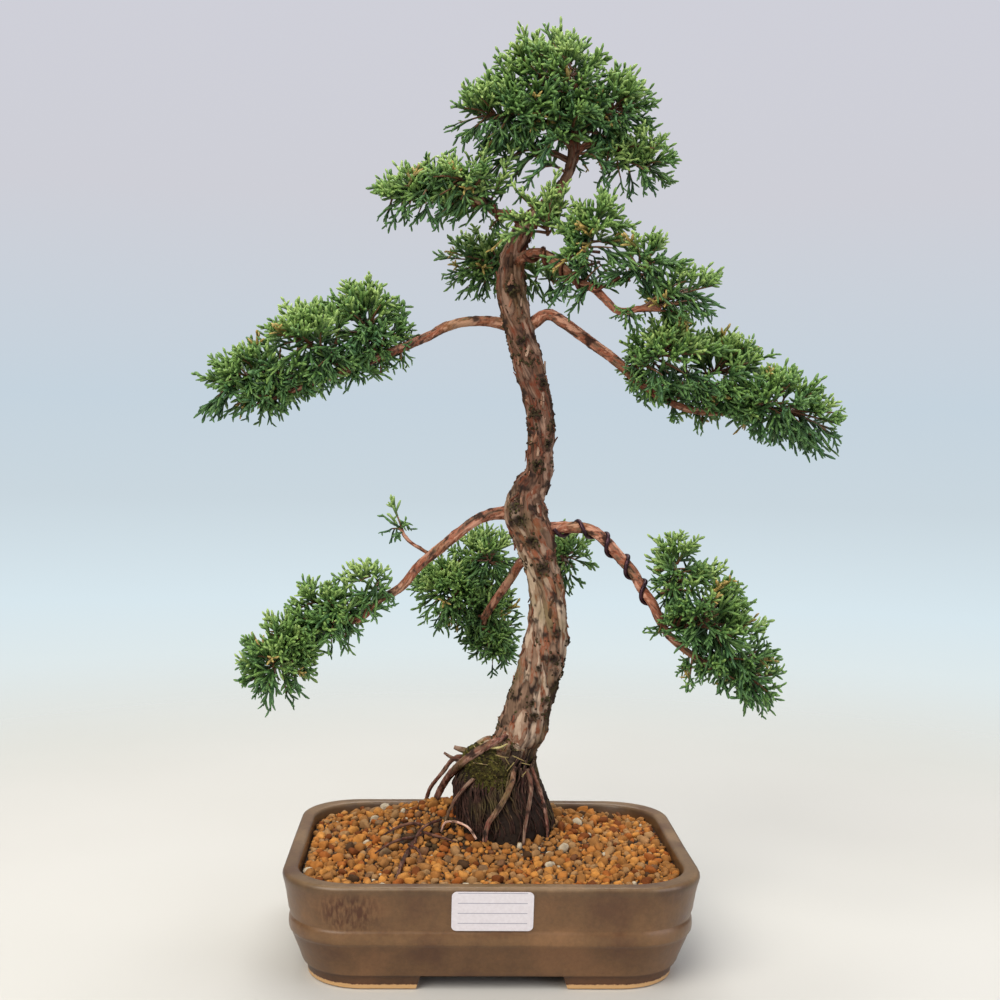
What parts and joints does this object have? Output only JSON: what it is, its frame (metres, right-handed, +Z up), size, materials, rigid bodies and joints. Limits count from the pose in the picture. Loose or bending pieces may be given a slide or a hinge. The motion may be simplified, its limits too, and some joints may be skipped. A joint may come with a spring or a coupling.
{
  "type": "bonsai tree in a pot",
  "caption": "Juniper bonsai with a bare curving trunk, wired drooping branches and foliage pads, on a mound of clay granules in an oblong round-cornered pot on bracket feet.",
  "frame": {"origin": "on the surface the pot stands on, under the middle of the whole object's bounding box", "axes": "+Z up along the tree, +X to the right along the long side of the pot, +Y towards the back of the pot; the side with the label faces -Y"},
  "size_m": [0.3444, 0.1806, 0.4866],
  "materials": {
    "stoneware_glaze": "satin",
    "clay_granules": "matte",
    "drain_mesh_plastic": "matte",
    "label_card": "satin",
    "trunk_bark": "matte",
    "branch_bark": "matte",
    "root_bark": "matte",
    "juniper_foliage": "matte",
    "moss": "matte",
    "training_wire": "satin"
  },
  "bodies": {
    "root": {"pot": "stoneware_glaze", "drain_mesh_left": "drain_mesh_plastic", "drain_mesh_right": "drain_mesh_plastic", "label": "label_card", "trunk": "trunk_bark", "branch_left_low": "branch_bark", "branch_left_low_twig": "branch_bark", "branch_right_low": "branch_bark", "branch_back_low": "branch_bark", "branch_left_mid": "branch_bark", "branch_right_mid": "branch_bark", "branch_right_high": "branch_bark", "branch_left_high": "branch_bark", "branch_back_high": "branch_bark", "branch_apex_right": "branch_bark", "wire_right_low": "training_wire", "wire_right_high": "training_wire", "wire_left_high": "training_wire", "root_left_inner": "root_bark", "root_left_outer": "root_bark", "root_front": "root_bark", "root_right": "root_bark", "root_surface_left": "root_bark", "root_surface_arch": "root_bark", "moss": "moss", "substrate": "clay_granules", "foliage_apex": "juniper_foliage", "foliage_apex_right": "juniper_foliage", "foliage_left_high": "juniper_foliage", "foliage_front_high": "juniper_foliage", "foliage_back_high": "juniper_foliage", "foliage_right_high": "juniper_foliage", "foliage_left_mid": "juniper_foliage", "foliage_right_mid": "juniper_foliage", "foliage_left_low": "juniper_foliage", "foliage_left_low_tuft": "juniper_foliage", "foliage_right_low": "juniper_foliage", "foliage_back_low": "juniper_foliage", "foliage_back_low_right": "juniper_foliage"}
  },
  "joints": []
}
